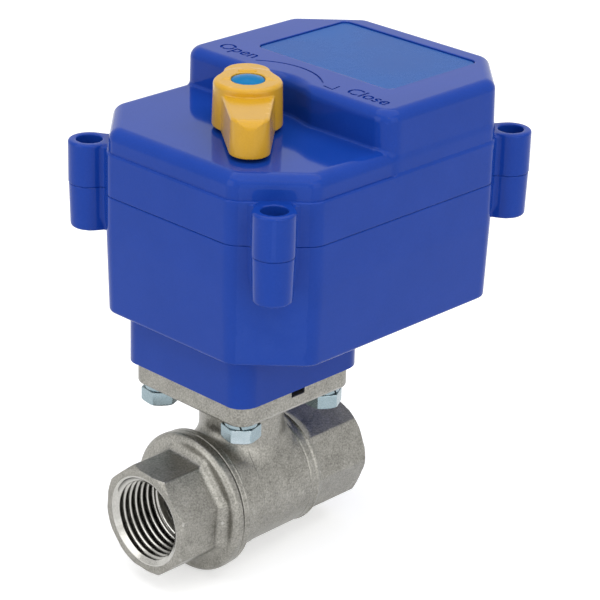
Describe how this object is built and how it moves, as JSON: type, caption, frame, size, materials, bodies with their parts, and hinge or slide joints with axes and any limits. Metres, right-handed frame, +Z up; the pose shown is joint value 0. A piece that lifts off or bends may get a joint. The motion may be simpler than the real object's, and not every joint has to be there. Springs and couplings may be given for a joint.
{
  "type": "motorized ball valve",
  "caption": "Ball valve with threaded ports and an electric quarter-turn actuator in a split housing, with a lever knob on top for turning it by hand.",
  "frame": {"origin": "centre of the inlet port's face, on the pipe axis", "axes": "+X along the pipe towards the outlet, +Z up the stem towards the knob"},
  "size_m": [0.1036, 0.0692, 0.1177],
  "materials": {
    "nickel": "satin nickel plate over cast brass, machined faces brighter",
    "gasket": "plain",
    "ball_steel": "polished",
    "ptfe": "plain",
    "brass": "machined",
    "zinc": "zinc plated",
    "blue_plastic": "glossy moulded",
    "plate_blue": "satin label film",
    "yellow_plastic": "glossy moulded",
    "cap_blue": "glossy moulded",
    "steel": "machined",
    "acetal": "moulded",
    "board_green": "solder mask",
    "black_plastic": "moulded",
    "red_plastic": "moulded"
  },
  "bodies": {
    "actuator": {"valve_body": "nickel", "inlet_end": "nickel", "end_gasket": "gasket", "inlet_seat": "ptfe", "outlet_seat": "ptfe", "stem_washer": "ptfe", "stem_packing": "ptfe", "gland_nut": "brass", "flange_bolts": "zinc", "bolt_washers": "zinc", "bolt_inserts": "brass", "base_housing": "blue_plastic", "cover_housing": "blue_plastic", "housing_gasket": "gasket", "cover_screws": "steel", "rating_plate": "plate_blue", "shaft_seal": "gasket", "lower_plate": "steel", "upper_plate": "steel", "plate_pillars": "steel", "plate_screws": "steel", "first_axle": "steel", "second_axle": "steel", "motor_can": "steel", "motor_cap": "black_plastic", "motor_screws": "steel", "circuit_board": "board_green", "limit_switches": "black_plastic", "switch_plungers": "red_plastic", "board_terminals": "board_green", "board_spacers": "acetal", "cable_gland": "black_plastic", "inner_nut": "black_plastic"},
    "driveline": {"ball": "ball_steel", "stem": "brass", "drive_shaft": "steel", "output_gear": "acetal", "limit_cam": "acetal", "stop_clip": "steel", "clutch_spring": "steel"},
    "knob_group": {"knob": "yellow_plastic", "knob_cap": "cap_blue", "knob_screw": "steel", "lift_rod": "steel", "lift_pin": "steel", "clutch_ring": "brass"},
    "idler_one": {"first_idler": "acetal"},
    "idler_two": {"second_idler": "acetal"},
    "motor_rotor": {"motor_shaft": "steel", "motor_pinion": "brass"}
  },
  "joints": [
    {"name": "valve_turn", "type": "hinge", "parent": "actuator", "child": "driveline", "pos_m": [0.031, 0, 0], "axis": [0, 0, 1], "range_deg": [-90, 0]},
    {"name": "knob_lift", "type": "slide", "parent": "driveline", "child": "knob_group", "axis": [0, 0, 1], "range_m": [0, 0.0025], "stiffness_N_per_m": 600, "springref_m": -0.002, "deforming": ["clutch_spring"]},
    {"name": "idler_one_spin", "type": "hinge", "parent": "actuator", "child": "idler_one", "pos_m": [0.055, 0, 0.056], "axis": [0, 0, 1], "range_deg": [-1, 361]},
    {"name": "idler_two_spin", "type": "hinge", "parent": "actuator", "child": "idler_two", "pos_m": [0.07186, 0.00786, 0.06], "axis": [0, 0, 1], "range_deg": [-1501, 1]},
    {"name": "motor_spin", "type": "hinge", "parent": "actuator", "child": "motor_rotor", "pos_m": [0.07308, -0.00609, 0.065], "axis": [0, 0, 1], "range_deg": [-1, 5501]}
  ],
  "couplings": [
    {"joint": "idler_one_spin", "follows": "valve_turn", "ratio": -4},
    {"joint": "idler_two_spin", "follows": "valve_turn", "ratio": 16.667},
    {"joint": "motor_spin", "follows": "valve_turn", "ratio": -61.111}
  ]
}
